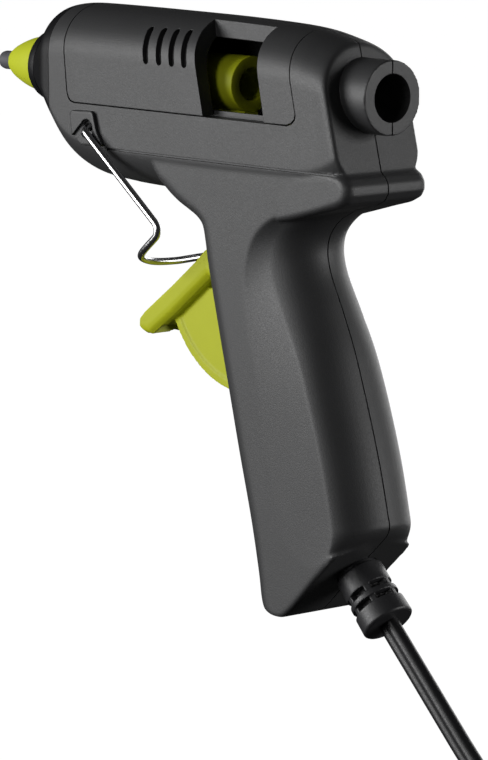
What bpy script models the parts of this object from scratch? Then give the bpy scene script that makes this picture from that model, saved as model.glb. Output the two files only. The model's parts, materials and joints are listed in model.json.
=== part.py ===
"""Hot-melt glue gun, built as separate closed solids.

All design numbers are millimetres in the gun's own axes: +X runs along the barrel
towards the nozzle, +Y is the gun's left, +Z is up. The barrel axis is Y = Z = 0 and the
rear ring of the glue-stick inlet is X = 0. Everything is moved at the end so that the
middle of the grip is the origin.
"""
import math

import bmesh
import bpy
import numpy as np

MM = 0.001
GRIP = (26.0, 0.0, -72.0)      # middle of the grip, in gun axes

# --- main dimensions ---------------------------------------------------------------
HALF_W = 13.6                  # half width of the barrel
ROOM_W = 10.8                  # half width of the room inside the handle
WALL = 2.2                     # wall of the two shells
HOOD_WALL = 3.6                # wall of the hood
SEAM = 0.15                    # half of the gap between the two shells
LEAN = 0.26                    # lean of the rear face (dx per dz)
INLET_R, INLET_BORE = 9.0, 5.8
STICK_BORE = 4.05              # the 7.2 mm glue stick runs in this radius
CARRIAGE_R = 6.9
CHAMBER_R = 7.0
PIVOT = (50.0, -47.0)          # trigger pivot (x, z)
FIN_R = 29.3
PULL = 20.0                    # trigger travel in degrees
DRIVE = (50.0 - 35.5 * math.tan(math.radians(PULL / 2)), -11.5)
STAND = (96.9, -13.0)          # pivot of the wire stand (x, z)
PAD_Y = 14.7                   # face of the raised pads that hold it
Y_LEG = 15.75                  # the wire's legs run just outside them
WIRE_R = 0.92
NOSE_X = 117.8                 # front face of the shells
NECK_X, NOZZLE_X = 124.4, 126.9            # the collar's straight rim
COLLAR_R = 9.25
CORD_R = 2.7
EXIT = (11.6, -115.3)          # where the cord's axis leaves the foot of the handle
D45 = math.sqrt(0.5)

for ob in list(bpy.data.objects):
    bpy.data.objects.remove(ob, do_unlink=True)
for col in list(bpy.data.collections):
    bpy.data.collections.remove(col)

parts = bpy.data.collections.new("glue_gun")
tools = bpy.data.collections.new("cutters")
bpy.context.scene.collection.children.link(parts)
bpy.context.scene.collection.children.link(tools)


def material(name, colour, roughness, metallic=0.0):
    m = bpy.data.materials.new(name)
    m.use_nodes = True
    b = m.node_tree.nodes["Principled BSDF"]
    b.inputs["Base Color"].default_value = (*colour, 1.0)
    b.inputs["Roughness"].default_value = roughness
    b.inputs["Metallic"].default_value = metallic
    m.diffuse_color = (*colour, 1.0)
    return m


MATS = {
    "housing": material("housing", (0.105, 0.105, 0.108), 0.55),
    "black": material("black", (0.02, 0.02, 0.022), 0.45),
    "lime": material("lime", (0.52, 0.60, 0.03), 0.45),
    "silicone": material("silicone", (0.56, 0.66, 0.03), 0.6),
    "steel": material("steel", (0.32, 0.32, 0.34), 0.4, 1.0),
    "chrome": material("chrome", (0.75, 0.75, 0.76), 0.12, 1.0),
    "alu": material("alu", (0.72, 0.73, 0.74), 0.4, 1.0),
    "brass": material("brass", (0.72, 0.53, 0.22), 0.3, 1.0),
    "ceramic": material("ceramic", (0.8, 0.78, 0.72), 0.6),
    "rubber": material("rubber", (0.6, 0.6, 0.58), 0.7),
    "cord": material("cord", (0.015, 0.015, 0.016), 0.4),
    "lead_red": material("lead_red", (0.5, 0.03, 0.02), 0.5),
    "lead_blue": material("lead_blue", (0.02, 0.06, 0.4), 0.5),
}


def link(mesh, name, mat=None):
    ob = bpy.data.objects.new(name, mesh)
    if mat:
        mesh.materials.append(MATS[mat])
        parts.objects.link(ob)
    else:
        tools.objects.link(ob)
        ob.hide_render = True
        ob.display_type = "WIRE"
    return ob


def solid(name, verts, faces, mat=None):
    mesh = bpy.data.meshes.new(name)
    mesh.from_pydata([tuple(map(float, v)) for v in verts], [], faces)
    bm = bmesh.new()
    bm.from_mesh(mesh)
    bmesh.ops.remove_doubles(bm, verts=bm.verts, dist=0.0001)
    bmesh.ops.recalc_face_normals(bm, faces=bm.faces)
    if bm.calc_volume(signed=True) < 0:
        bmesh.ops.reverse_faces(bm, faces=bm.faces)
    bm.to_mesh(mesh)
    bm.free()
    return link(mesh, name, mat)


def rings(name, loops, mat=None, closed=False):
    """Skin a list of equal loops; capped at both ends unless the stack is closed."""
    n, m = len(loops[0]), len(loops)
    verts = [v for loop in loops for v in loop]
    faces = []
    for i in range(m if closed else m - 1):
        a, b = i * n, ((i + 1) % m) * n
        for j in range(n):
            k = (j + 1) % n
            faces.append((a + j, a + k, b + k, b + j))
    if not closed:
        faces.append(tuple(range(n)))
        faces.append(tuple(range((m - 1) * n, m * n)))
    return solid(name, verts, faces, mat)


def turned(name, outline, mat=None, axis="x", origin=(0, 0, 0), n=40, bored=True):
    """Turn a closed outline of (along, radius) points round an axis."""
    loops = []
    for s, r in outline:
        loop = []
        for j in range(n):
            a = 2 * math.pi * j / n
            c, d = r * math.cos(a), r * math.sin(a)
            if axis == "x":
                p = (s, c, d)
            elif axis == "y":
                p = (c, s, d)
            elif axis == "z":
                p = (c, d, s)
            else:                       # the cord's axis: backwards and down at 45 degrees
                p = (-D45 * s + D45 * c, d, -D45 * s - D45 * c)
            loop.append((p[0] + origin[0], p[1] + origin[1], p[2] + origin[2]))
        loops.append(loop)
    return rings(name, loops, mat, closed=bored)


def cylinder(name, r, lo, hi, axis="x", origin=(0, 0, 0), mat=None, n=40):
    return turned(name, [(lo, r), (hi, r)], mat, axis, origin, n, bored=False)


def prism(name, outline, lo, hi, mat=None):
    """Outline of (x, z) points, pulled from y = lo to y = hi."""
    return rings(name, [[(x, lo, z) for x, z in outline], [(x, hi, z) for x, z in outline]], mat)


def box(name, x, y, z, mat=None):
    return prism(name, [(x[0], z[0]), (x[1], z[0]), (x[1], z[1]), (x[0], z[1])], y[0], y[1], mat)


def join(name, obs, mat=None):
    bm = bmesh.new()
    for ob in obs:
        bm.from_mesh(ob.data)
        bpy.data.objects.remove(ob, do_unlink=True)
    mesh = bpy.data.meshes.new(name)
    bm.to_mesh(mesh)
    bm.free()
    return link(mesh, name, mat)


def boolean(ob, other, how, keep=False):
    mod = ob.modifiers.new(how, "BOOLEAN")
    mod.operation = how
    mod.solver = "EXACT"
    mod.object = other
    deps = bpy.context.evaluated_depsgraph_get()
    mesh = bpy.data.meshes.new_from_object(ob.evaluated_get(deps))
    ob.modifiers.clear()
    old = ob.data
    ob.data = mesh
    bpy.data.meshes.remove(old)
    if not keep:
        bpy.data.objects.remove(other, do_unlink=True)
    return ob


def cut(ob, *others, keep=False):
    for o in others:
        boolean(ob, o, "DIFFERENCE", keep)
    return ob


def add(ob, *others, keep=False):
    for o in others:
        boolean(ob, o, "UNION", keep)
    return ob


def duplicate(ob, name, mat=None):
    return link(ob.data.copy(), name, mat)


def tube(name, path, r, mat=None, sides=10, ellipse=1.0):
    """Round rod along a polyline, with parallel-carried rings and flat ends."""
    pts = [np.array(p, float) for p in path]
    tans = []
    for i in range(len(pts)):
        a = pts[max(i - 1, 0)]
        b = pts[min(i + 1, len(pts) - 1)]
        tans.append((b - a) / np.linalg.norm(b - a))
    ref = np.array((0.0, 1.0, 0.0)) if abs(tans[0][1]) < 0.9 else np.array((0.0, 0.0, 1.0))
    u = ref - tans[0] * ref.dot(tans[0])
    u /= np.linalg.norm(u)
    loops = []
    for p, t in zip(pts, tans):
        u = u - t * u.dot(t)
        u /= np.linalg.norm(u)
        v = np.cross(t, u)
        loops.append([tuple(p + r * (math.cos(a) * u + ellipse * math.sin(a) * v))
                      for a in (2 * math.pi * j / sides for j in range(sides))])
    return rings(name, loops, mat)


def rounded(path, radius, steps=5):
    """Replace each inner corner of a polyline with an arc."""
    out = [np.array(path[0], float)]
    for i in range(1, len(path) - 1):
        p, a, b = (np.array(path[k], float) for k in (i, i - 1, i + 1))
        da, db = a - p, b - p
        la, lb = np.linalg.norm(da), np.linalg.norm(db)
        da, db = da / la, db / lb
        ang = math.acos(max(-1, min(1, da.dot(db))))
        d = min(radius / math.tan(ang / 2), la * 0.49, lb * 0.49)
        r = d * math.tan(ang / 2)
        mid = (da + db) / np.linalg.norm(da + db)
        c = p + mid * (r / math.sin(ang / 2))
        v0, v1 = (p + da * d - c) / r, (p + db * d - c) / r
        turn = math.acos(max(-1, min(1, v0.dot(v1))))
        for k in range(steps + 1):
            f = k / steps
            s = (math.sin((1 - f) * turn) * v0 + math.sin(f * turn) * v1) / math.sin(turn)
            out.append(c + s * r)
    out.append(np.array(path[-1], float))
    return out


# --- the barrel: rings across the gun, each in a plane that leans like the rear face --
# x at the axis, roof, underside, half width, lean
BARREL = [
    (8.4, 11.8, -21.6, HALF_W - 1.7, LEAN),
    (8.9, 12.3, -22.0, HALF_W - 0.9, LEAN),
    (10.4, 12.9, -22.6, HALF_W - 0.3, LEAN),
    (14.0, 13.9, -24.5, HALF_W, LEAN),
    (22.0, 15.3, -26.4, HALF_W, 0.25),
    (42.0, 16.3, -27.1, HALF_W, 0.24),
    (76.0, 16.8, -27.0, HALF_W, 0.20),
    (92.0, 16.9, -26.4, HALF_W, 0.14),
    (103.0, 16.9, -25.0, HALF_W, 0.10),
    (109.0, 16.8, -22.2, HALF_W - 0.1, 0.06),
    (113.5, 16.4, -17.0, HALF_W - 0.2, 0.03),
    (116.4, 15.8, -13.0, HALF_W - 0.4, 0.01),
    (NOSE_X, 15.1, -11.7, HALF_W - 1.0, 0.0),
]


def barrel_ring(x, top, low, w, lean, inset):
    top, low, w = top - inset, low + inset, w - inset
    rise = 12.0 - 0.5 * inset                 # height of the arched roof
    under = 8.7 - 0.7 * inset                 # height of the rounded lower edge
    under_y = 8.3 - 0.7 * inset
    half = []
    for k in range(7):
        a = math.pi / 2 * k / 6
        half.append((w * math.sin(a), top - rise * (1 - math.cos(a))))
    for k in range(5):
        a = math.pi / 2 * k / 4
        half.append((w - under_y * (1 - math.cos(a)), low + under * (1 - math.sin(a))))
    ring = half + [(-y, z) for y, z in reversed(half[1:])]
    return [(x + lean * z, y, z) for y, z in ring]


def barrel(name, inset):
    rows = []
    for i, (x, top, low, w, lean) in enumerate(BARREL):
        if inset > 0:
            if x < 8.9 + inset or x > NOSE_X - inset:
                continue
        rows.append(barrel_ring(x, top, low, w, lean, inset))
    return rings(name, rows)


# --- the handle ------------------------------------------------------------------------
# Its outline is a row of stations. Each has a point in the middle plane, a point where the
# flat side starts, and how deep the round edge between them is. On the back a third point
# and a dip say where the round back meets the side.
FRONT = [
    (72.0, -24.6, 69.6, -22.2, 4.0), (69.6, -26.7, 67.6, -23.3, 4.5), (67.8, -28.1, 65.6, -24.5, 4.6),
    (64.8, -29.9, 62.3, -26.6, 5.0), (61.2, -31.4, 58.7, -28.4, 5.0), (58.2, -32.9, 54.9, -30.2, 5.2),
    (56.6, -34.6, 52.0, -32.6, 5.6), (56.1, -38.3, 50.4, -36.9, 6.4), (55.8, -42.3, 49.4, -41.0, 7.0),
    (55.2, -46.4, 48.3, -45.0, 7.4), (52.0, -59.8, 44.9, -58.2, 7.4), (48.8, -72.3, 41.7, -70.8, 7.4),
    (44.5, -89.2, 37.5, -87.8, 7.4), (39.9, -106.2, 33.2, -104.9, 7.4), (36.9, -119.2, 30.8, -118.3, 7.4),
    (35.9, -124.0, 30.2, -123.2, 7.0), (34.5, -126.3, 29.6, -125.6, 6.0), (31.9, -127.3, 28.4, -126.7, 4.4),
    (26.5, -127.5, 26.1, -126.8, 1.2), (24.4, -126.9, 24.5, -125.8, 0.9), (12.9, -116.2, 13.4, -115.2, 0.9),
    (6.0, -109.8, 7.9, -110.0, 1.2),
]
BACK = [
    (3.0, -107.0, 8.0, -109.6, 16.0, -113.5, 0.1), (1.1, -105.1, 7.2, -107.0, 22.0, -110.0, 0.2),
    (0.2, -103.0, 6.9, -104.6, 24.5, -107.0, 0.25), (0.7, -100.6, 7.4, -101.6, 25.5, -103.5, 0.3),
    (4.1, -87.2, 10.6, -88.4, 29.0, -90.5, 0.35), (9.5, -70.6, 16.0, -72.4, 32.5, -75.0, 0.5),
    (13.1, -60.9, 19.9, -63.1, 34.5, -66.5, 0.8), (17.2, -52.1, 25.0, -54.2, 37.0, -57.0, 1.2),
    (21.4, -43.6, 29.8, -45.0, 38.4, -46.5, 1.7), (22.5, -38.5, 30.6, -39.2, 37.2, -39.8, 2.0),
    (21.5, -34.4, 29.0, -34.6, 34.9, -35.4, 2.1), (17.9, -30.5, 24.0, -30.2, 30.2, -31.4, 1.9),
    (12.9, -27.7, 17.2, -27.2, 23.0, -28.4, 1.4),
]
TOP = [(11.0, -24.0, 13.8, -23.0, 4.6), (22.1, -18.4, 22.1, -18.9, 4.6), (55.2, -16.6, 55.2, -17.0, 4.6), (75.4, -18.4, 72.0, -19.3, 5.0)]
HANDLE_TOP_W, HANDLE_FOOT_W = 13.35, 12.7      # half width at the barrel and at the foot
BACK_FULL = 1.035              # the round back is an ellipse this much wider than the crease


def handle(name, steps=4):
    """The handle: quarter-round edges in front, an arc and a slanted band at the back."""
    w = HANDLE_TOP_W
    rows = []
    for row in FRONT + BACK + TOP:
        line = []
        if len(row) == 5:
            ox, oz, ix, iz, deep = row
            for k in range(steps + 2):
                a = math.pi / 2 * k / (steps + 1)
                line.append((ix + (ox - ix) * math.cos(a), w - deep * (1 - math.sin(a)), iz + (oz - iz) * math.cos(a)))
        else:
            ox, oz, cx, cz, ix, iz, dip = row
            end = w - dip
            full = 1 - math.sqrt(1 - 1 / BACK_FULL ** 2)
            for k in range(steps + 1):
                y = 0.3 + (end - 0.3) * math.sin(math.pi / 2 * k / steps)
                f = (1 - math.sqrt(1 - (y / end / BACK_FULL) ** 2)) / full
                line.append((ox + (cx - ox) * f, y, oz + (cz - oz) * f))
            line.append((ix, w, iz))
        rows.append(line)
    loops = [[r[k] for r in rows] for k in range(steps + 2)]
    loops = loops[::-1] + [[(x, -y, z) for x, y, z in loop] for loop in loops]
    taper = (HANDLE_TOP_W - HANDLE_FOOT_W) / HANDLE_TOP_W / 109.0      # a plain draft, so the sides stay flat
    return rings(name, [[(x, y * (1 + taper * min(0.0, z + 18.0)), z) for x, y, z in loop] for loop in loops])


# room inside the handle, drawn one wall further in
ROOM = [
    (68.0, -23.4, 64.0, -20.8, 6.0), (63.0, -27.2, 59.4, -23.6, 6.6), (57.6, -30.0, 53.6, -26.8, 6.6), (55.4, -33.7, 50.8, -31.6, 6.6),
    (53.8, -38.4, 48.2, -37.0, 6.6), (53.5, -42.4, 47.6, -41.4, 6.6), (52.9, -46.2, 46.9, -45.0, 6.6), (49.8, -60.3, 43.6, -58.9, 6.6),
    (46.5, -72.8, 40.3, -71.5, 6.6), (42.1, -89.7, 36.0, -88.4, 6.6), (37.6, -106.7, 31.7, -105.5, 6.6), (34.8, -119.0, 29.6, -118.2, 6.6),
    (33.8, -123.2, 29.4, -121.6, 5.6), (31.8, -124.8, 28.6, -123.0, 4.0), (28.0, -125.0, 26.8, -123.6, 1.6), (26.2, -124.8, 26.0, -123.2, 1.2),
    (14.4, -114.6, 15.0, -113.4, 1.2), (7.6, -108.0, 12.0, -108.9, 2.4), (4.6, -104.4, 12.5, -105.9, 8.0), (3.2, -101.0, 13.0, -102.4, 9.8),
    (6.6, -87.6, 16.5, -89.6, 10.0), (12.0, -71.2, 22.0, -73.8, 10.0), (15.6, -61.7, 26.0, -64.8, 10.0), (19.7, -53.0, 31.0, -56.4, 10.0),
    (24.0, -44.2, 35.5, -46.8, 10.0), (25.2, -38.6, 36.0, -39.4, 9.6), (24.4, -33.0, 34.0, -33.0, 8.6), (21.6, -28.4, 28.4, -27.4, 6.6),
    (20.0, -20.0, 23.0, -20.5, 5.6), (58.0, -16.0, 56.0, -17.0, 5.6), (67.0, -18.0, 63.0, -18.6, 6.0),
]
LIP = [
    (4.0, -17.9, 5.6, -19.0), (2.5, -18.8, 4.4, -19.6), (1.3, -20.5, 3.7, -21.0), (1.2, -22.6, 3.7, -22.4),
    (2.4, -24.5, 4.4, -23.6), (5.3, -25.9, 6.6, -24.5), (11.0, -27.4, 11.4, -25.9), (17.0, -29.6, 17.0, -27.9),
    (27.0, -28.0, 26.0, -27.0), (27.0, -20.0, 26.0, -21.0), (8.0, -17.0, 9.0, -18.6),
]


def slab(name, rows, w, steps=4):
    """Rounded slab: outline in the middle plane, drawn in towards the flat sides."""
    outer = np.array([r[:2] for r in rows])
    inner = np.array([r[2:4] for r in rows])
    deep = np.array([r[4] if len(r) > 4 else 2.6 for r in rows])
    loops = []
    for side in (1, -1):
        some = []
        for k in range(steps + 1):
            a = math.pi / 2 * k / steps
            ring = outer + (inner - outer) * (1 - math.cos(a))
            y = w - deep * (1 - math.sin(a))
            some.append([(x, side * yy, z) for (x, z), yy in zip(ring, y)])
        loops += some[::-1] if side == 1 else some
    return rings(name, loops)


# --- outside and cavity ------------------------------------------------------------
outside = barrel("outside", 0.0)
add(outside, handle("handle"), slab("lip", LIP, HALF_W + 0.15, 3))
bare = duplicate(outside, "bare")
add(outside, cylinder("inlet", INLET_R, 0.0, 16.0, n=40))

cavity = barrel("cavity", WALL)
add(cavity, slab("handle_room", ROOM, ROOM_W, 2))

SCREWS = [(112.0, -16.6), (79.0, -22.0), (17.5, -17.5), (21.5, -57.0), (37.5, -92.0), (11.5, -98.5)]
for i, (x, z) in enumerate(SCREWS):
    cut(cavity, cylinder(f"post_{i}", 3.1, -30, 30, "y", (x, 0, z), n=24))
ribs = []
for i, x in enumerate((64.5, 79.2, 88.0, 113.2)):
    if i == 1:
        plate = box("rib", (x, x + 1.6), (-13, 13), (-20.0, 0.0))
    else:
        plate = box("rib", (x, x + 1.6), (-13, 13), (-30.0, 0.0))
    cut(plate, cylinder("seat", CARRIAGE_R + 0.25, x - 1, x + 3, n=48),
        box("keel_way", (x - 1, x + 3), (-6.0, 6.0), (-16.0, 0.0)))
    if x < 110:
        cut(plate, box("lead_way_l", (x - 1, x + 3), (5.5, 10.2), (-20.2, -15.5)),
            box("lead_way_r", (x - 1, x + 3), (-10.2, -5.5), (-20.2, -15.5)))
    ribs.append(plate)
ribs.append(box("spring_seat", (33.0, 39.2), (-14, 14), (-26.6, -24.6)))
for s in (1, -1):
    ribs.append(box("stand_boss", (91.5, 108.5), tuple(sorted((s * 8.9, s * 14.0))), (-30.0, -7.8)))
ribs.append(box("sill", (28.0, 60.0), (9.6, 14.0), (-9.6, -6.0)))
for r in ribs:
    cut(cavity, r)

body = outside
cut(body, cavity)
cut(body, cylinder("inlet_bore", INLET_BORE, -2.0, 16.0, n=40),
    turned("nose_hole", [(112.0, 7.15), (115.0, 7.15), (115.0, 8.3), (125.0, 8.3)], n=40, bored=False))

# trigger opening in the front of the handle: wide at the top for the lever, then narrow
cut(body, box("lever_way", (47.0, 70.0), (-6.1, 6.1), (-52.5, -35.6)),
    box("fin_way", (44.0, 66.0), (-3.4, 3.4), (-78.5, -50.0)))
# hole for the strain relief
cut(body, turned("relief_hole", [(-6.0, 5.35), (4.0, 5.35)], None, "d", (EXIT[0], 0, EXIT[1]), 32, False))

# raised pads for the wire stand, each with a shallow catch for the folded wire
PAD = [(94.7, -8.9), (102.4, -9.1), (103.2, -10.2), (102.4, -15.4), (98.8, -17.6), (90.6, -17.4), (90.4, -16.8), (92.5, -14.0), (93.9, -9.5)]
CATCH = [(97.6, -11.6), (98.6, -12.2), (102.9, -16.0), (101.6, -17.4), (97.2, -13.6), (96.2, -12.4)]
for s in (1, -1):
    add(body, prism("pad", PAD, *sorted((s * 12.5, s * PAD_Y))))
    cut(body, prism("catch", CATCH, *sorted((s * 14.0, s * 17.0))),
        cylinder("stand_mouth", 2.5, *sorted((s * 13.1, s * 17.0)), "y", (STAND[0] - 0.6, 0, STAND[1] - 0.4), n=24),
        cylinder("stand_hole", WIRE_R + 0.12, *sorted((s * 8.0, s * 16.5)), "y", (STAND[0], 0, STAND[1]), n=20))

# --- hood: one piece over both shells ------------------------------------------------
HOOD = [(22.5, -7.1), (20.3, -6.2), (19.4, -4.4), (25.2, 20.0), (107.9, 20.0), (105.2, -4.6), (104.3, -6.3), (102.4, -7.1)]
mid = (63.0, 4.0)
HOOD_GAP = [(x + (0.3 if x > mid[0] else -0.3), z - 0.3 if z < 0 else z) for x, z in HOOD]
hood = duplicate(bare, "hood", "housing")
cut(hood, barrel("hood_room", HOOD_WALL))
boolean(hood, prism("hood_area", HOOD, -20, 20), "INTERSECT")
recess = prism("recess", HOOD_GAP, -20, 20)
cut(recess, barrel("core", HOOD_WALL + 0.3))
cut(body, recess)
cut(hood, prism("window", [(30.0, -9.0), (52.5, -9.0), (52.9, -7.2), (57.6, 13.0), (58.4, 18.5), (35.8, 18.5)], 5.2, 20))
slots = []
for x in (74.1, 69.1, 64.3, 59.6):
    line = []
    for zc, sgn in ((12.9, 1), (3.8, -1)):
        for k in range(5):
            a = math.pi * k / 4
            line.append((x + 0.23 * (zc - 3.8) + sgn * 0.85 * math.cos(a), zc + sgn * 0.85 * math.sin(a)))
    slots.append(prism("slot", line, -20, 20))
slots = join("slots", slots)
cut(slots, barrel("slot_floor", 1.2))
cut(hood, slots)

# --- split into the two shells ---------------------------------------------------------
left = duplicate(body, "left_shell", "housing")
right = duplicate(body, "right_shell", "housing")
cut(left, box("right_half", (-10, 200), (-40, SEAM), (-150, 60)))
cut(right, box("left_half", (-10, 200), (-SEAM, 40), (-150, 60)))
bpy.data.objects.remove(body, do_unlink=True)
bpy.data.objects.remove(bare, do_unlink=True)

HEAD_R, SHANK_R = 2.5, 1.2
for i, (x, z) in enumerate(SCREWS):
    seat = -6.0
    cut(right, cylinder("head_way", HEAD_R + 0.15, -20, seat, "y", (x, 0, z), n=24),
        cylinder("shank_way", SHANK_R + 0.2, seat - 1, 1, "y", (x, 0, z), n=20))
    cut(left, cylinder("pilot", SHANK_R + 0.05, -1, 9.5, "y", (x, 0, z), n=20))
    turned(f"screw_{i + 1}", [(seat - 2.0, 0.0001), (seat - 2.0, HEAD_R - 0.3), (seat - 1.6, HEAD_R), (seat - 0.02, HEAD_R),
                              (seat - 0.02, SHANK_R), (8.4, SHANK_R), (9.2, 0.5), (9.2, 0.0001)],
           "steel", "y", (x, 0, z), 20, bored=False)

# trigger pin sits in blind bosses of both shells
TRIGGER_PIN_R = 1.5
for ob, s in ((left, 1), (right, -1)):
    boss = cylinder("pin_boss", 2.9, *sorted((s * 6.6, s * 10.8)), "y", (PIVOT[0], 0, PIVOT[1]), n=28)
    add(ob, boss)
    cut(ob, cylinder("pin_hole", TRIGGER_PIN_R + 0.03, *sorted((s * 6.0, s * 10.0)), "y", (PIVOT[0], 0, PIVOT[1]), n=28))
cylinder("trigger_pin", TRIGGER_PIN_R, -9.7, 9.7, "y", (PIVOT[0], 0, PIVOT[1]), "steel", 28)

# --- nose: collar, nozzle, lime sleeve ---------------------------------------------------
def circle(x, r, n):
    """Points in step with a barrel ring: from the top, over the left side, round to the top."""
    return [(x, r * math.sin(2 * math.pi * k / n), r * math.cos(2 * math.pi * k / n)) for k in range(n)]


flare = [barrel_ring(NOSE_X + 0.1, 15.1, -11.7, HALF_W - 1.0, 0.0, 0.35)]
n = len(flare[0])
flare += [circle(NECK_X, COLLAR_R, n), circle(NOZZLE_X - 0.6, COLLAR_R, n), circle(NOZZLE_X, COLLAR_R - 0.55, n),
          circle(NOZZLE_X, 7.7, n), circle(116.0, 7.7, n), circle(116.0, 8.0, n), circle(NOSE_X + 0.1, 8.0, n)]
rings("nose_collar", flare, "black", closed=True)
turned("nozzle", [(119.4, 0.8), (119.4, 4.3), (137.5, 4.3), (141.4, 2.45), (147.0, 2.4), (148.0, 1.6), (148.0, 0.8)], "steel", n=32)
turned("nozzle_cap", [(120.5, 4.45), (120.5, 7.45), (128.0, 7.45), (131.2, 7.1), (134.4, 6.4), (137.4, 5.45), (140.2, 4.35),
                      (142.2, 3.35), (142.7, 2.6), (141.4, 2.6), (137.6, 4.45)], "silicone", n=36)

# --- melting chamber and heater -----------------------------------------------------------
chamber = turned("heating_chamber", [(84.0, 3.9), (84.0, 5.2), (87.4, 5.2), (87.4, CHAMBER_R), (116.6, CHAMBER_R), (117.2, 6.4),
                                     (119.2, 6.4), (119.2, 1.2), (112.0, 1.3), (104.0, 3.7)], "alu", n=28)
pad = box("pad", (92.0, 110.0), (-4.6, 4.6), (-8.0, -5.9))
add(chamber, pad)
box("heater", (94.0, 108.0), (-4.0, 4.0), (-11.4, -8.2), "ceramic")
clip = box("heater_clip", (96.5, 105.5), (-8.0, 8.0), (-12.4, 5.0), "steel")
cut(clip, box("clip_room", (90, 110), (-7.3, 7.3), (-11.7, 7.0)))
turned("inlet_sleeve", [(80.9, 4.0), (80.9, 6.3), (87.1, 6.3), (87.1, 5.35), (83.7, 5.35), (83.7, 4.0)], "rubber", n=24)
turned("sleeve_clamp", [(84.4, 6.45), (84.4, 7.05), (86.8, 7.05), (86.8, 6.45)], "steel", n=24)

# --- carriage with keel, drive pin and gripping jaw ------------------------------------------
carriage = turned("carriage", [(50.0, STICK_BORE + 0.3), (50.0, CARRIAGE_R - 0.35), (50.35, CARRIAGE_R), (66.0, CARRIAGE_R),
                               (66.0, STICK_BORE), (50.4, STICK_BORE)], "lime", n=48)
keel = prism("keel", [(40.6, -14.6), (48.0, -14.6), (62.8, -8.6), (62.8, -5.6), (50.4, -5.6), (50.4, -8.2), (40.6, -8.2)], -2.2, 2.2)
add(carriage, keel)
cut(carriage, cylinder("drive_hole", 1.52, -4, 4, "y", (DRIVE[0], 0, DRIVE[1]), n=24),
    box("jaw_way", (51.2, 58.6), (-1.15, 1.15), (-20.0, -3.5)),
    cylinder("jaw_hole", 0.78, -4, 4, "y", (55.4, 0, -8.7), n=16))
cylinder("drive_pin", 1.48, -5.6, 5.6, "y", (DRIVE[0], 0, DRIVE[1]), "steel", 24)
cylinder("jaw_pin", 0.75, -2.1, 2.1, "y", (55.4, 0, -8.7), "steel", 16)
jaw = prism("jaw", [(52.6, -3.85), (53.6, -4.7), (54.3, -4.3), (55.0, -5.1), (56.9, -7.6), (57.0, -9.6), (55.6, -10.6),
                    (53.6, -9.8), (52.7, -7.6)], -0.85, 0.85, "steel")
cut(jaw, cylinder("jaw_bore", 0.80, -4, 4, "y", (55.4, 0, -8.7), n=16))

# --- trigger: finger lever, quarter fin, hub, fork and heel -----------------------------------
trigger = prism("trigger", [(51.0, -42.5), (55.4, -38.4), (61.6, -41.5), (65.4, -44.8), (74.0, -51.4), (84.4, -58.9), (86.7, -61.0),
                            (87.0, -63.2), (85.0, -65.1), (82.3, -65.2), (74.0, -59.3), (60.0, -48.5), (54.0, -49.5), (50.0, -50.0)],
                -5.5, 5.5, "lime")
for s in (1, -1):
    lo, hi = sorted((s * 2.5, s * 4.2))
    cut(trigger, prism("hollow", [(65.0, -46.6), (74.4, -53.4), (83.6, -60.2), (84.9, -61.6), (84.9, -70.0), (62.0, -70.0)], lo, hi))
cut(trigger, prism("hollow", [(79.3, -57.2), (83.6, -60.2), (84.9, -61.6), (84.9, -70.0), (79.3, -70.0)], -4.2, 4.2))
fan = [PIVOT]
for k in range(15):
    a = math.radians(-27.0 - 72.0 * k / 14)
    fan.append((PIVOT[0] + FIN_R * math.cos(a), PIVOT[1] + FIN_R * math.sin(a)))
add(trigger, prism("fin", fan, -3.0, 3.0), cylinder("hub", 4.4, -5.9, 5.9, "y", (PIVOT[0], 0, PIVOT[1]), n=32))
tilt = math.radians(-PULL / 2)
ux, uz = math.sin(tilt), math.cos(tilt)
reach = 35.5 / math.cos(tilt)


def arm(r, side):
    return (PIVOT[0] + ux * r + uz * side, PIVOT[1] + uz * r - ux * side)


fork = [arm(0, -4.0), arm(0, 4.0), arm(6, 3.4), arm(9, 2.3), arm(22, 2.3), arm(28, 3.2), arm(reach + 2.6, 3.2), arm(reach + 2.6, -3.2), arm(20, -3.4)]
add(trigger, prism("fork", fork, -5.2, 5.2))
gap = [arm(8, -9), arm(8, 9), arm(reach + 9, 9), arm(reach + 9, -9)]
cut(trigger, prism("fork_gap", gap, -2.6, 2.6))
slot_line = []
for base, sgn in ((reach + 0.3, 1), (reach - 0.7, -1)):
    for k in range(7):
        a = math.pi * k / 6
        slot_line.append(arm(base + sgn * 1.75 * math.sin(a), sgn * 1.75 * math.cos(a)))
cut(trigger, prism("drive_slot", slot_line, -8, 8))
add(trigger, prism("heel", [(33.6, -48.4), (49.0, -49.5), (49.0, -45.0), (33.6, -45.2)], -3.0, 3.0))
cut(trigger, cylinder("pivot_bore", TRIGGER_PIN_R + 0.05, -9, 9, "y", (PIVOT[0], 0, PIVOT[1]), n=28))

helix = []
turns, per = 7, 9
z0, z1 = -44.3, -27.5
for k in range(turns * per + 1):
    a = 2 * math.pi * k / per
    helix.append((36.2 + 2.1 * math.cos(a), 2.1 * math.sin(a), z0 + (z1 - z0) * k / (turns * per)))
tube("return_spring", helix, 0.4, "steel", 5)

# --- wire stand ------------------------------------------------------------------------------
half = rounded([(STAND[0], 9.2, STAND[1]), (STAND[0], Y_LEG, STAND[1]), (66.0, Y_LEG, -36.3), (71.0, Y_LEG, -40.3)], 2.6, 4)
wire = half + [np.array(p) for p in ((74.0, 15.3, -42.6), (75.7, 14.0, -43.8), (76.8, 11.6, -44.8), (77.4, 8.0, -45.6))]
wire += [np.array((77.7, 0.0, -46.0))] + [p * (1, -1, 1) for p in reversed(wire)]
tube("wire_stand", wire, WIRE_R, "chrome", 10)

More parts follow.
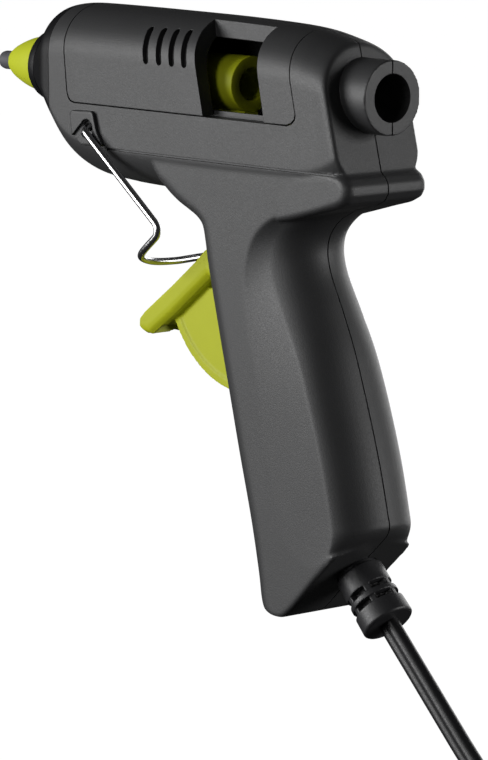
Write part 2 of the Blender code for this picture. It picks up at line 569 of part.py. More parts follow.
# --- strain relief, cord, coil and plug --------------------------------------------------------
relief = [(-5.2, 2.95), (-5.2, 6.2), (-3.0, 6.2), (-3.0, 5.15), (1.1, 5.15), (1.1, 6.1), (6.4, 6.05), (6.4, 4.6), (7.8, 4.6),
          (7.8, 6.2), (9.4, 6.25), (9.4, 4.6), (10.8, 4.6), (10.8, 6.45), (15.6, 6.6), (16.1, 6.1), (16.1, 2.95)]
turned("strain_relief", relief, "black", "d", (EXIT[0], 0, EXIT[1]), 24)

BENCH = -200.0
COIL_W, COIL_H = 5.8, 11.8     # three turns side by side in two layers, the flat cord on edge
COIL_C, COIL_R = (26.0, 7.5), 34.2
OUTER = COIL_R + 3.7           # the coil's outer turn
BEND_R, BEND_AT = 23.6, 20.0   # the cord turns back in this radius, this far past its straight run


def along(t):
    return (EXIT[0] - D45 * t, 0.0, EXIT[1] - D45 * t)


def turn_back():
    """The cord's axis from the end of its straight run down to the bench and back, a point per millimetre."""
    p = np.array(along(50.0))
    fall = (p[2] - BENCH - 2.9) * (math.pi / 4) / (1 - D45)
    end = BEND_AT + 15.0 + math.pi * BEND_R
    points, turned_by, n = [], 0.0, 0
    while n < max(end, fall):
        at = n + 0.5
        dip = math.pi / 4 * max(0.0, 1 - at / fall)
        rate = max(0.0, min(1.0, (at - BEND_AT) / 15.0, (end - at) / 15.0)) / BEND_R
        turned_by += rate / 2
        p = p + np.array((-math.cos(turned_by) * math.cos(dip), math.sin(turned_by) * math.cos(dip), -math.sin(dip)))
        turned_by += rate / 2
        points.append(p)
        n += 1
    return points


line = [np.array(along(t)) for t in (-12.0, -3.0, 6.0, 15.0, 24.0, 33.0, 42.0, 50.0)]
back = turn_back()
line += back[7:-4:8] + [back[-1], np.array((6.0, COIL_C[1] + OUTER, BENCH + 2.9))]
tube("cord", line, CORD_R, "cord", 10)
ring = [(BENCH, COIL_R - 5.0), (BENCH, COIL_R + 5.0), (BENCH + 1.4, COIL_R + COIL_W), (BENCH + COIL_H - 1.4, COIL_R + COIL_W), (BENCH + COIL_H, COIL_R + 5.0),
        (BENCH + COIL_H, COIL_R - 5.0), (BENCH + COIL_H - 1.4, COIL_R - COIL_W), (BENCH + 1.4, COIL_R - COIL_W)]
turned("cord_coil", ring, "cord", "z", (COIL_C[0], COIL_C[1], 0), 32)

# the tail leaves the outer turn at this angle and curves back towards the nozzle side
LEAVE, TAIL_R = math.radians(20.0), 26.0
CLEAR = 12.6 / TAIL_R          # the tail is clear of the coil after this much of its bend
tail = []
for n in range(6):
    a = (LEAVE - math.pi / 2 + CLEAR) * (1 - n / 5)
    tail.append((COIL_C[0] + OUTER * math.cos(LEAVE) + TAIL_R * (math.sin(a) + math.cos(LEAVE)),
                 COIL_C[1] + OUTER * math.sin(LEAVE) - TAIL_R * (math.cos(a) - math.sin(LEAVE)), BENCH + 8.0 - n / 5))
plug_y, px = tail[-1][1], tail[-1][0] + 2.4
tail.append((px - 0.1, plug_y, BENCH + 7.0))
tube("cord_tail", tail, CORD_R, "cord", 10)
plug = rings("plug", [[(x, plug_y + w * math.cos(a), BENCH + 7.0 + h * math.sin(a)) for a in (2 * math.pi * j / 16 + math.pi / 16 for j in range(16))]
                      for x, w, h in ((px, 3.6, 3.6), (px + 9, 4.6, 4.4), (px + 16, 9.0, 5.6), (px + 33, 13.0, 6.9), (px + 36, 12.6, 6.7))], "cord")
for s, n in ((1, "a"), (-1, "b")):
    turned(f"plug_pin_{n}", [(px + 36.1, 0.0001), (px + 36.1, 2.0), (px + 54.0, 2.0), (px + 55.2, 1.2), (px + 55.2, 0.0001)],
           "brass", "x", (0, plug_y + s * 9.3, BENCH + 7.0), 16, bored=False)

# --- inner leads with crimp sleeves -------------------------------------------------------------
for s, n, m in ((1, "live", "lead_red"), (-1, "neutral", "lead_blue")):
    start = along(-12.6)
    path = [(start[0] + 0.2, s * 1.4, start[2] + 0.2), (25.5, s * 2.4, -102.5), (27.5, s * 8.2, -92.0), (27.3, s * 8.2, -68.0),
            (31.6, s * 8.0, -54.0), (31.4, s * 8.0, -26.0), (36.5, s * 8.6, -18.0), (60.0, s * 8.6, -18.0), (82.0, s * 7.8, -18.0), (90.6, s * 4.2, -11.2), (93.6, s * 2.4, -9.8)]
    tube(f"lead_{n}", rounded(path, 4.0, 2), 0.75, m, 6)
    turned(f"splice_{n}", [(-86.0, 0.95), (-86.0, 2.1), (-74.0, 2.1), (-74.0, 0.95)], "rubber", "z", (27.4, s * 8.2, 0), 16)

# --- move everything to the grip and to metres ---------------------------------------------------
for ob in list(tools.objects):
    bpy.data.objects.remove(ob, do_unlink=True)
bpy.data.collections.remove(tools)
for ob in parts.objects:
    bm = bmesh.new()
    bm.from_mesh(ob.data)
    bmesh.ops.remove_doubles(bm, verts=bm.verts, dist=0.00005)
    bmesh.ops.dissolve_degenerate(bm, edges=bm.edges, dist=0.00005)
    for v in bm.verts:
        v.co = ((v.co.x - GRIP[0]) * MM, (v.co.y - GRIP[1]) * MM, (v.co.z - GRIP[2]) * MM)
    bm.to_mesh(ob.data)
    bm.free()
    if len(ob.data.materials) != 1:         # cutters carry no material of their own
        keep = ob.data.materials[0] or MATS["housing"]
        ob.data.materials.clear()
        ob.data.materials.append(keep)
        for face in ob.data.polygons:
            face.material_index = 0
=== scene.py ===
"""The looks of the hot-melt glue gun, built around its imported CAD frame.

Shapes are drawn in the gun's own millimetres: +X runs along the barrel to the nozzle,
+Y is the gun's left, +Z is up, and the barrel axis is Y = Z = 0. emit() moves each piece
to the frame's metres.
"""
import json
import math

import bmesh
import bpy
import numpy as np
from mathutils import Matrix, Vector


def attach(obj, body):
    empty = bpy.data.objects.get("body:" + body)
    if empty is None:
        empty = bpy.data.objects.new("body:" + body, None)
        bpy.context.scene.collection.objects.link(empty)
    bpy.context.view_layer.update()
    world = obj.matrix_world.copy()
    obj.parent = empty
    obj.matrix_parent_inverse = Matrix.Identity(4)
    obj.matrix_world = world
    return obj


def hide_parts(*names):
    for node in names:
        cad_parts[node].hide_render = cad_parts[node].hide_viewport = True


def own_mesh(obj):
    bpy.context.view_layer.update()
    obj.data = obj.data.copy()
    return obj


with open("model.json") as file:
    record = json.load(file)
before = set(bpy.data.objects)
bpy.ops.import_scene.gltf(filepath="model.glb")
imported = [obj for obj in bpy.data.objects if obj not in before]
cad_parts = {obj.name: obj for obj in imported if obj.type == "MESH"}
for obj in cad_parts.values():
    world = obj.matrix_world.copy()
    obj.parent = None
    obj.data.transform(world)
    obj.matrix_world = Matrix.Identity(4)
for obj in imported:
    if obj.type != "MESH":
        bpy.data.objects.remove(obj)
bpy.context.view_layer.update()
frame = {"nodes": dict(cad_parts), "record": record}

MM = 0.001
FACE = next(m for m in frame["record"]["mounts"] if m["name"] == "inlet_face")["pos_m"]
ORIGIN = np.array((FACE[0], 0.0, FACE[2]))      # the gun's own origin, in the frame
scene = bpy.context.scene
D45 = math.sqrt(0.5)

# --- camera -------------------------------------------------------------------------------
cam_data = bpy.data.cameras.new("camera")
cam_data.lens = 139.484
cam_data.sensor_fit = "AUTO"
cam_data.sensor_width = 24.0
cam_data.clip_start = 0.01
cam_data.clip_end = 50.0
camera = bpy.data.objects.new("camera", cam_data)
camera.location = (-0.7848, 0.7114, 0.1668)
camera.rotation_euler = Vector((0.743, -0.651, -0.154)).to_track_quat("-Z", "Y").to_euler()
scene.collection.objects.link(camera)
scene.camera = camera
scene.view_settings.view_transform = "Standard"
scene.view_settings.look = "None"


# --- materials ----------------------------------------------------------------------------
def surface(name, colour, rough, metal=0.0, grain=3000.0, depth=0.00003, vary=0.05, rough_vary=0.06,
            bevel=0.0, specular=0.5):
    """Principled material with fine grain, slow colour drift and uneven gloss."""
    mat = bpy.data.materials.new(name)
    mat.use_nodes = True
    nodes, links = mat.node_tree.nodes, mat.node_tree.links
    bsdf = nodes["Principled BSDF"]
    bsdf.inputs["Metallic"].default_value = metal
    bsdf.inputs["Specular IOR Level"].default_value = specular
    coords = nodes.new("ShaderNodeTexCoord")
    slow = nodes.new("ShaderNodeTexNoise")
    slow.inputs["Scale"].default_value = 90.0
    slow.inputs["Detail"].default_value = 3.0
    fine = nodes.new("ShaderNodeTexNoise")
    fine.inputs["Scale"].default_value = grain
    fine.inputs["Detail"].default_value = 2.0
    for tex in (slow, fine):
        links.new(coords.outputs["Object"], tex.inputs["Vector"])
    ramp = nodes.new("ShaderNodeValToRGB")
    ramp.color_ramp.elements[0].position = 0.3
    ramp.color_ramp.elements[1].position = 0.7
    ramp.color_ramp.elements[0].color = (*[c * (1 - vary) for c in colour], 1)
    ramp.color_ramp.elements[1].color = (*[min(1.0, c * (1 + vary)) for c in colour], 1)
    links.new(slow.outputs["Fac"], ramp.inputs["Fac"])
    links.new(ramp.outputs["Color"], bsdf.inputs["Base Color"])
    gloss = nodes.new("ShaderNodeMapRange")
    gloss.inputs["From Min"].default_value = 0.3
    gloss.inputs["From Max"].default_value = 0.7
    gloss.inputs["To Min"].default_value = rough - rough_vary
    gloss.inputs["To Max"].default_value = rough + rough_vary
    links.new(fine.outputs["Fac"], gloss.inputs["Value"])
    links.new(gloss.outputs["Result"], bsdf.inputs["Roughness"])
    bump = nodes.new("ShaderNodeBump")
    bump.inputs["Strength"].default_value = 1.0
    bump.inputs["Distance"].default_value = depth
    links.new(fine.outputs["Fac"], bump.inputs["Height"])
    if bevel:
        edge = nodes.new("ShaderNodeBevel")
        edge.samples = 6
        edge.inputs["Radius"].default_value = bevel
        links.new(edge.outputs["Normal"], bump.inputs["Normal"])
    links.new(bump.outputs["Normal"], bsdf.inputs["Normal"])
    return mat


MATS = {
    "housing": surface("housing", (0.037, 0.0373, 0.0385), 0.50, grain=3200, depth=0.000035, bevel=0.00025),
    "black": surface("black", (0.026, 0.026, 0.028), 0.44, grain=2600, depth=0.00002, bevel=0.0002),
    "lime": surface("lime", (0.48, 0.52, 0.016), 0.46, grain=2600, depth=0.000012, vary=0.03, bevel=0.0002,
                    specular=0.2),
    "silicone": surface("silicone", (0.54, 0.60, 0.024), 0.6, grain=2200, depth=0.00003, vary=0.03, specular=0.25),
    "steel": surface("steel", (0.32, 0.32, 0.34), 0.36, 1.0, grain=5000, depth=0.000006, rough_vary=0.08),
    # near-black: painted shade for the nose cone and the chin front, which face away from the light
    "painted_shade_collar": surface("painted_shade_collar", (0.008, 0.008, 0.009), 0.42, grain=2600, depth=0.00002, bevel=0.0002, specular=0.2),
    "tip": surface("tip", (0.10, 0.10, 0.108), 0.5, 0.0, grain=3000, depth=0.00002),
    "chrome": surface("chrome", (0.62, 0.62, 0.63), 0.24, 1.0, grain=900, depth=0.0, vary=0.02, rough_vary=0.03),
    "alu": surface("alu", (0.72, 0.73, 0.74), 0.42, 1.0, grain=2600, depth=0.00003, rough_vary=0.08),
    "brass": surface("brass", (0.72, 0.53, 0.22), 0.28, 1.0, grain=4000, depth=0.000005),
    "ceramic": surface("ceramic", (0.80, 0.78, 0.72), 0.62, grain=2400, depth=0.00004),
    "rubber": surface("rubber", (0.60, 0.60, 0.58), 0.55, grain=2400, depth=0.00003),
    "cord": surface("cord", (0.010, 0.010, 0.011), 0.42, grain=2600, depth=0.00002, rough_vary=0.08),
    "lead_red": surface("lead_red", (0.50, 0.03, 0.02), 0.45, grain=2600, depth=0.00002),
    "lead_blue": surface("lead_blue", (0.02, 0.06, 0.40), 0.45, grain=2600, depth=0.00002),
}


# --- mesh tools, in gun millimetres -------------------------------------------------------
def solid(verts, faces):
    mesh = bpy.data.meshes.new("work")
    mesh.from_pydata([tuple(map(float, v)) for v in verts], [], faces)
    bm = bmesh.new()
    bm.from_mesh(mesh)
    bmesh.ops.remove_doubles(bm, verts=bm.verts, dist=0.0001)
    bmesh.ops.recalc_face_normals(bm, faces=bm.faces)
    if bm.calc_volume(signed=True) < 0:
        bmesh.ops.reverse_faces(bm, faces=bm.faces)
    bm.to_mesh(mesh)
    bm.free()
    ob = bpy.data.objects.new("work", mesh)
    scene.collection.objects.link(ob)
    return ob


def rings(loops, closed=False):
    """Skins a list of equal loops; capped at both ends unless the stack is closed."""
    n, m = len(loops[0]), len(loops)
    faces = []
    for i in range(m if closed else m - 1):
        a, b = i * n, ((i + 1) % m) * n
        for j in range(n):
            k = (j + 1) % n
            faces.append((a + j, a + k, b + k, b + j))
    if not closed:
        faces += [tuple(range(n)), tuple(range((m - 1) * n, m * n))]
    return solid([v for loop in loops for v in loop], faces)


def turned(outline, axis="x", origin=(0, 0, 0), n=96, bored=True):
    """Turns a closed outline of (along, radius) points round an axis."""
    loops = []
    for s, r in outline:
        loop = []
        for j in range(n):
            a = 2 * math.pi * j / n
            c, d = r * math.cos(a), r * math.sin(a)
            p = {"x": (s, c, d), "y": (c, s, d), "z": (c, d, s),
                 "cord": (-D45 * s + D45 * c, d, -D45 * s - D45 * c)}[axis]
            loop.append(tuple(p[k] + origin[k] for k in range(3)))
        loops.append(loop)
    return rings(loops, closed=bored)


def cylinder(r, lo, hi, axis="x", origin=(0, 0, 0), n=64):
    return turned([(lo, r), (hi, r)], axis, origin, n, bored=False)


def prism(outline, lo, hi):
    """Outline of (x, z) points, pulled from y = lo to y = hi."""
    return rings([[(x, lo, z) for x, z in outline], [(x, hi, z) for x, z in outline]])


def box(x, y, z):
    return prism([(x[0], z[0]), (x[1], z[0]), (x[1], z[1]), (x[0], z[1])], y[0], y[1])


def apply_modifier(ob):
    """Bakes the modifiers into the mesh."""
    deps = bpy.context.evaluated_depsgraph_get()
    mesh = bpy.data.meshes.new_from_object(ob.evaluated_get(deps))
    ob.modifiers.clear()
    old, ob.data = ob.data, mesh
    bpy.data.meshes.remove(old)
    return ob


def boolean(ob, other, how):
    """Joins, cuts or intersects with another solid, which is used up."""
    mod = ob.modifiers.new(how, "BOOLEAN")
    mod.operation = how
    mod.solver = "MANIFOLD"
    mod.object = other
    apply_modifier(ob)
    bpy.data.objects.remove(other, do_unlink=True)
    return ob


def cut(ob, *others):
    for o in others:
        boolean(ob, o, "DIFFERENCE")
    return ob


def add(ob, *others):
    for o in others:
        boolean(ob, o, "UNION")
    return ob


def duplicate(ob):
    copy = bpy.data.objects.new("work", ob.data.copy())
    scene.collection.objects.link(copy)
    return copy


def soften(ob, voxel, rounds):
    """Rounds every edge: an even remesh, then smoothing."""
    mod = ob.modifiers.new("even", "REMESH")
    mod.mode = "VOXEL"
    mod.voxel_size = voxel
    mod = ob.modifiers.new("smooth", "SMOOTH")
    mod.factor = 0.5
    mod.iterations = rounds
    return apply_modifier(ob)


def tube(path, profile, fixed=None):
    """Sweeps a closed profile of (u, v) points along a path. fixed is an axis that u keeps to."""
    pts = [np.array(p, float) for p in path]
    u, loops = None, []
    for i, p in enumerate(pts):
        t = pts[min(i + 1, len(pts) - 1)] - pts[max(i - 1, 0)]
        t /= np.linalg.norm(t)
        if fixed is not None:
            u = np.array(fixed, float)
        elif u is None:
            u = np.array((0.0, 1.0, 0.0) if abs(t[1]) < 0.9 else (0.0, 0.0, 1.0))
        u = u - t * u.dot(t)
        u /= np.linalg.norm(u)
        v = np.cross(t, u)
        loops.append([tuple(p + a * u + b * v) for a, b in profile])
    return rings(loops)


def circle_profile(r, n=24):
    return [(r * math.cos(2 * math.pi * j / n), r * math.sin(2 * math.pi * j / n)) for j in range(n)]


def rounded(path, radius, steps=8):
    """Replaces each inner corner of a polyline with an arc."""
    out = [np.array(path[0], float)]
    for i in range(1, len(path) - 1):
        p, a, b = (np.array(path[k], float) for k in (i, i - 1, i + 1))
        da, db = a - p, b - p
        la, lb = np.linalg.norm(da), np.linalg.norm(db)
        da, db = da / la, db / lb
        ang = math.acos(max(-1, min(1, da.dot(db))))
        d = min(radius / math.tan(ang / 2), la * 0.49, lb * 0.49)
        r = d * math.tan(ang / 2)
        mid = (da + db) / np.linalg.norm(da + db)
        c = p + mid * (r / math.sin(ang / 2))
        v0, v1 = (p + da * d - c) / r, (p + db * d - c) / r
        turn = math.acos(max(-1, min(1, v0.dot(v1))))
        for k in range(steps + 1):
            f = k / steps
            out.append(c + (math.sin((1 - f) * turn) * v0 + math.sin(f * turn) * v1) / math.sin(turn) * r)
    out.append(np.array(path[-1], float))
    return out


def flow(points, steps, closed=False):
    """Centripetal Catmull-Rom curve through rows of numbers."""
    p = [np.array(q, float) for q in points]
    n = len(p)
    out = []
    for i in range(n if closed else n - 1):
        if closed:
            q = [p[(i + k - 1) % n] for k in range(4)]
        else:
            q = [p[max(i - 1, 0)], p[i], p[i + 1], p[min(i + 2, n - 1)]]
            if i == 0:
                q[0] = 2 * q[1] - q[2]
            if i == n - 2:
                q[3] = 2 * q[2] - q[1]
        t = [0.0]
        for k in range(3):
            t.append(t[-1] + max(np.linalg.norm(q[k + 1] - q[k]), 1e-6) ** 0.5)
        for k in range(steps):
            s = t[1] + (t[2] - t[1]) * k / steps
            a = [(t[j + 1] - s) / (t[j + 1] - t[j]) * q[j] + (s - t[j]) / (t[j + 1] - t[j]) * q[j + 1]
                 for j in range(3)]
            b = [(t[j + 2] - s) / (t[j + 2] - t[j]) * a[j] + (s - t[j]) / (t[j + 2] - t[j]) * a[j + 1]
                 for j in range(2)]
            out.append((t[2] - s) / (t[2] - t[1]) * b[0] + (s - t[1]) / (t[2] - t[1]) * b[1])
    if not closed:
        out.append(p[-1])
    return out


def emit(ob, name, mat, body="housing", stands_for=(), sharp=32.0):
    """Moves a finished shape to the frame, names it and makes it ride."""
    ob.name = name
    ob.data.name = name
    co = np.zeros(len(ob.data.vertices) * 3)
    ob.data.vertices.foreach_get("co", co)
    co = co.reshape(-1, 3) * MM + ORIGIN
    ob.data.vertices.foreach_set("co", co.ravel())
    ob.data.materials.clear()
    ob.data.materials.append(MATS[mat])
    ob.data.polygons.foreach_set("use_smooth", [True] * len(ob.data.polygons))
    ob.data.set_sharp_from_angle(angle=math.radians(sharp))
    ob.data.update()
    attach(ob, body)
    if stands_for:
        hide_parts(*stands_for)
    return ob


# --- cord, coil and plug ------------------------------------------------------------------
EXIT = (11.6, -115.3)          # where the cord's axis leaves the foot of the handle
BENCH = -200.0                 # height of the bench
LIE = BENCH + 2.9              # height of the cord's axis where it lies on the bench
PLUG_Z = BENCH + 7.0           # height of the plug's axis
CORD_W, CORD_H = 5.7, 3.6
COIL_C, COIL_R, PITCH = (26.0, 7.5), 34.2, 3.7
OUTER = COIL_R + PITCH
BEND_R, BEND_AT = 23.6, 20.0
LEAVE, TAIL_R = math.radians(20.0), 26.0
LAYER = 5.75                   # height of one layer of the coil


def along(t):
    """Point on the straight run out of the handle."""
    return np.array((EXIT[0] - D45 * t, 0.0, EXIT[1] - D45 * t))


def turn_back():
    """The cord's axis from its straight run down to the bench and back, a point per millimetre."""
    p = along(50.0)
    fall = (p[2] - LIE) * (math.pi / 4) / (1 - D45)
    blend_in = 15.0
    end = BEND_AT + blend_in + math.pi * BEND_R
    points, turned_by, n = [], 0.0, 0
    while n < max(end, fall):
        at = n + 0.5
        dip = math.pi / 4 * max(0.0, 1 - at / fall)
        rate = max(0.0, min(1.0, (at - BEND_AT) / blend_in, (end - at) / blend_in)) / BEND_R
        turned_by += rate / 2
        p = p + np.array((-math.cos(turned_by) * math.cos(dip), math.sin(turned_by) * math.cos(dip),
                          -math.sin(dip)))
        turned_by += rate / 2
        points.append(p)
        n += 1
    return points


def ease(a, lo, hi):
    """Goes smoothly from 0 to 1 as a goes from lo to hi."""
    f = max(0.0, min(1.0, (a - lo) / (hi - lo)))
    return f * f * (3 - 2 * f)


def coil():
    """Three rings inwards on the bench, then three outwards on top of them, a point every 5 degrees."""
    points = []
    for a in range(0, 1871, 5):
        r = (OUTER - PITCH * (ease(a, 280, 360) + ease(a, 640, 720))
             + PITCH * (ease(a, 1200, 1280) + ease(a, 1480, 1560)))
        z = LIE + LAYER * ease(a, 920, 1000)
        w = math.radians(90.0 - a)
        points.append(np.array((COIL_C[0] + r * math.cos(w), COIL_C[1] + r * math.sin(w), z)))
    return points


back = turn_back()
winding = coil()
route = [along(t) for t in np.arange(12.0, 50.1, 2.0)] + back[1:-2:3] + [back[-1]]
gap = np.linspace(back[-1], winding[0], 18)
route += list(gap[1:-1]) + winding
top = LIE + LAYER
tail = []
for n in range(1, 17):
    a = (LEAVE - math.pi / 2) * (1 - n / 16)
    tail.append(np.array((COIL_C[0] + OUTER * math.cos(LEAVE) + TAIL_R * (math.sin(a) + math.cos(LEAVE)),
                          COIL_C[1] + OUTER * math.sin(LEAVE) - TAIL_R * (math.cos(a) - math.sin(LEAVE)),
                          top - (top - PLUG_Z) * ease(n, 0, 16))))
route += tail
PLUG_Y, PLUG_X = tail[-1][1], tail[-1][0] + 2.4
route.append(np.array((PLUG_X + 0.3, PLUG_Y, PLUG_Z)))

# two round cores side by side, joined by a narrow web
CORE_R, CORE_AT = CORD_H / 2, (CORD_W - CORD_H) / 2
flat = []
for side, facing in ((1, 0.0), (-1, math.pi)):
    flat += [(side * CORE_AT + CORE_R * math.cos(a), CORE_R * math.sin(a))
             for a in np.linspace(facing - 2.0, facing + 2.0, 17)]
cord = tube(route, flat, fixed=(0.0, 0.0, 1.0))
emit(cord, "supply_cord", "cord", stands_for=("cord", "cord_coil", "cord_tail"), sharp=50)

# distance from the plug's rear end, half width, half height, how square the section is
plug_rows = flow([
    (-0.0, 3.3, 3.3, 2.0), (1.2, 3.7, 3.7, 2.0), (6.0, 4.1, 4.0, 2.1), (10.5, 5.4, 4.7, 2.4),
    (15.0, 8.6, 5.5, 2.9), (20.0, 10.9, 6.1, 3.3), (28.0, 12.4, 6.8, 3.6), (33.0, 12.9, 6.9, 3.7),
    (35.4, 12.8, 6.8, 3.7), (36.0, 12.2, 6.3, 3.7),
], 3)
loops = []
for x, w, h, p in plug_rows:
    loops.append([(PLUG_X + x, PLUG_Y + w * math.copysign(abs(math.cos(a)) ** (2 / p), math.cos(a)),
                   PLUG_Z + h * math.copysign(abs(math.sin(a)) ** (2 / p), math.sin(a)))
                  for a in (2 * math.pi * (j + 0.5) / 64 for j in range(64))])
plug = rings(loops)
for x in (3.4, 5.6, 7.8):       # grip ribs of the plug's own strain relief
    at = PLUG_X + x
    cut(plug, turned([(at, 3.45), (at, 9.0), (at + 0.9, 9.0), (at + 0.9, 3.45)], origin=(0, PLUG_Y, PLUG_Z)))
plug = emit(plug, "mains_plug", "cord", stands_for=("plug",))
for s, n in ((1, "a"), (-1, "b")):
    outline = [(36.1, 0.001), (36.1, 2.0), (53.2, 2.0), (54.2, 1.85), (54.9, 1.4), (55.2, 0.8), (55.2, 0.001)]
    pin = turned([(PLUG_X + x, r) for x, r in outline], origin=(0, PLUG_Y + s * 9.3, PLUG_Z), n=32, bored=False)
    emit(pin, f"mains_pin_{n}", "brass", stands_for=(f"plug_pin_{n}",))

# --- stage and light ----------------------------------------------------------------------
def stage_surface(name):
    """White that shines by itself, so that it shows the same from every side."""
    mat = bpy.data.materials.new(name)
    mat.use_nodes = True
    bsdf = mat.node_tree.nodes["Principled BSDF"]
    bsdf.inputs["Base Color"].default_value = (0.0, 0.0, 0.0, 1)
    bsdf.inputs["Roughness"].default_value = 0.9
    bsdf.inputs["Emission Color"].default_value = (1, 1, 1, 1)
    bsdf.inputs["Emission Strength"].default_value = 1.0
    return mat


def stage_piece(name, bm):
    """A piece of the stage that only the camera sees."""
    mesh = bpy.data.meshes.new(name)
    bm.to_mesh(mesh)
    bm.free()
    ob = bpy.data.objects.new(name, mesh)
    ob.data.materials.append(stage_surface(name))
    scene.collection.objects.link(ob)
    ob.visible_diffuse = False
    ob.visible_glossy = False
    ob.visible_shadow = False
    return ob


STAGE_R = 6.0
bm = bmesh.new()
bmesh.ops.create_circle(bm, cap_ends=True, radius=STAGE_R, segments=64)
floor = stage_piece("floor", bm)
floor.location.z = BENCH * MM + ORIGIN[2] - 0.0002
bm = bmesh.new()
bmesh.ops.create_uvsphere(bm, u_segments=48, v_segments=24, radius=STAGE_R)
bmesh.ops.reverse_faces(bm, faces=bm.faces)
stage_piece("backdrop", bm)

world = bpy.data.worlds.new("studio")
world.use_nodes = True
world.node_tree.nodes["Background"].inputs["Color"].default_value = (1, 1, 1, 1)
world.node_tree.nodes["Background"].inputs["Strength"].default_value = 0.02
scene.world = world


LIGHT_AT, AIM = 1.6, (0.045, 0.0, 0.02)        # how far the lights stand from the point they aim at


def softbox(name, direction, size, power):
    """Area light in a direction from the gun; size in metres, power in watts."""
    data = bpy.data.lights.new(name, "AREA")
    data.shape = "RECTANGLE"
    data.size = data.size_y = size
    data.energy = power
    ob = bpy.data.objects.new(name, data)
    d = Vector(direction).normalized()
    ob.location = Vector(AIM) + d * LIGHT_AT
    ob.rotation_euler = (-d).to_track_quat("-Z", "Y").to_euler()
    scene.collection.objects.link(ob)


softbox("key", (0.55, 0.80, 0.16), 0.9, 24.0)
softbox("side", (-0.12, 0.97, 0.25), 0.6, 4.0)
softbox("rim", (0.25, -0.95, 0.10), 1.2, 11.0)
softbox("fill", (-0.80, -0.58, 0.08), 0.8, 11.0)

# --- the barrel ---------------------------------------------------------------------------
HALF_W, HOOD_WALL, WALL = 13.6, 3.6, 2.2
LEAN, NOSE_X = 0.26, 117.8
UNDER_POWER = 1.3              # 1 rounds the lower edge, 2 makes it a flat chamfer
# x at the axis, roof, underside, half width, lean
BARREL = [
    (8.4, 11.8, -21.6, HALF_W - 0.8, LEAN), (8.6, 12.2, -22.0, HALF_W - 0.35, LEAN),
    (9.2, 12.6, -22.4, HALF_W - 0.05, LEAN), (14.0, 13.9, -24.5, HALF_W, LEAN),
    (22.0, 15.3, -26.4, HALF_W, 0.25), (42.0, 16.3, -27.1, HALF_W, 0.24), (76.0, 16.8, -27.0, HALF_W, 0.20),
    (92.0, 16.9, -26.4, HALF_W, 0.14), (103.0, 16.9, -25.0, HALF_W, 0.10), (109.0, 16.8, -22.2, HALF_W - 0.1, 0.06),
    (113.5, 16.4, -17.0, HALF_W - 0.2, 0.03), (116.4, 15.8, -13.0, HALF_W - 0.4, 0.01),
    (NOSE_X, 15.1, -11.7, HALF_W - 1.0, 0.0),
]


def barrel_ring(x, top, low, w, lean, inset, fine=3):
    """Cross section, drawn in by inset and leaning forwards with height."""
    top, low, w = top - inset, low + inset, w - inset
    rise = 12.0 - 0.5 * inset                 # height of the arched roof
    under = 8.7 - 0.7 * inset                 # height of the rounded lower edge
    under_y = 8.3 - 0.7 * inset
    half = []
    for k in range(6 * fine + 1):
        a = math.pi / 2 * k / (6 * fine)
        half.append((w * math.sin(a), top - rise * (1 - math.cos(a))))
    for k in range(4 * fine + 1):
        a = math.pi / 2 * k / (4 * fine)
        half.append((w - under_y * (1 - math.cos(a) ** UNDER_POWER), low + under * (1 - math.sin(a) ** UNDER_POWER)))
    ring = half + [(-y, z) for y, z in reversed(half[1:])]
    return [(x + lean * z, y, z) for y, z in ring]


def barrel(inset, steps=5):
    rows = [r for r in BARREL if inset == 0 or 8.9 + inset <= r[0] <= NOSE_X - inset]
    return rings([barrel_ring(*row, inset) for row in flow(rows, steps)])


# --- the handle ---------------------------------------------------------------------------
# Each station has a point in the middle plane, a point where the flat side starts, and how
# deep the round edge between them is. On the back a third point and a dip say where the
# round back meets the side.
FRONT = [
    (72.0, -24.6, 69.6, -22.2, 4.0), (69.6, -26.7, 67.6, -23.3, 4.5), (67.8, -28.1, 65.6, -24.5, 4.6),
    (64.8, -29.9, 62.3, -26.6, 5.0), (61.2, -31.4, 58.7, -28.4, 5.0), (58.2, -32.9, 54.9, -30.2, 5.2),
    (56.6, -34.6, 52.0, -32.6, 5.6), (56.1, -38.3, 50.4, -36.9, 6.4), (55.8, -42.3, 49.4, -41.0, 7.0),
    (55.2, -46.4, 48.3, -45.0, 7.4), (52.0, -59.8, 44.9, -58.2, 7.4), (48.8, -72.3, 41.7, -70.8, 7.4),
    (44.5, -89.2, 37.5, -87.8, 7.4), (39.9, -106.2, 33.2, -104.9, 7.4), (36.9, -119.2, 30.8, -118.3, 7.4),
    (35.9, -124.0, 30.2, -123.2, 7.0), (34.5, -126.3, 29.6, -125.6, 6.0), (31.9, -127.3, 28.4, -126.7, 4.4),
    (26.5, -127.5, 26.1, -126.8, 1.2), (24.4, -126.9, 24.5, -125.8, 0.9), (12.9, -116.2, 13.4, -115.2, 0.9),
    (6.0, -109.8, 7.9, -110.0, 1.2),
]
BACK = [
    (3.0, -107.0, 8.0, -109.6, 16.0, -113.5, 0.1), (1.1, -105.1, 7.2, -107.0, 22.0, -110.0, 0.2),
    (0.2, -103.0, 6.9, -104.6, 24.5, -107.0, 0.25), (0.7, -100.6, 7.4, -101.6, 25.5, -103.5, 0.3),
    (4.1, -87.2, 10.6, -88.4, 29.0, -90.5, 0.35), (9.5, -70.6, 16.0, -72.4, 32.5, -75.0, 0.5),
    (13.1, -60.9, 19.9, -63.1, 34.5, -66.5, 0.8), (17.2, -52.1, 25.0, -54.2, 37.0, -57.0, 1.2),
    (21.4, -43.6, 29.8, -45.0, 38.4, -46.5, 1.7), (22.5, -38.5, 30.6, -39.2, 37.2, -39.8, 2.0),
    (21.5, -34.4, 29.0, -34.6, 34.9, -35.4, 2.1), (17.9, -30.5, 24.0, -30.2, 30.2, -31.4, 1.9),
    (12.9, -27.7, 17.2, -27.2, 23.0, -28.4, 1.4),
]
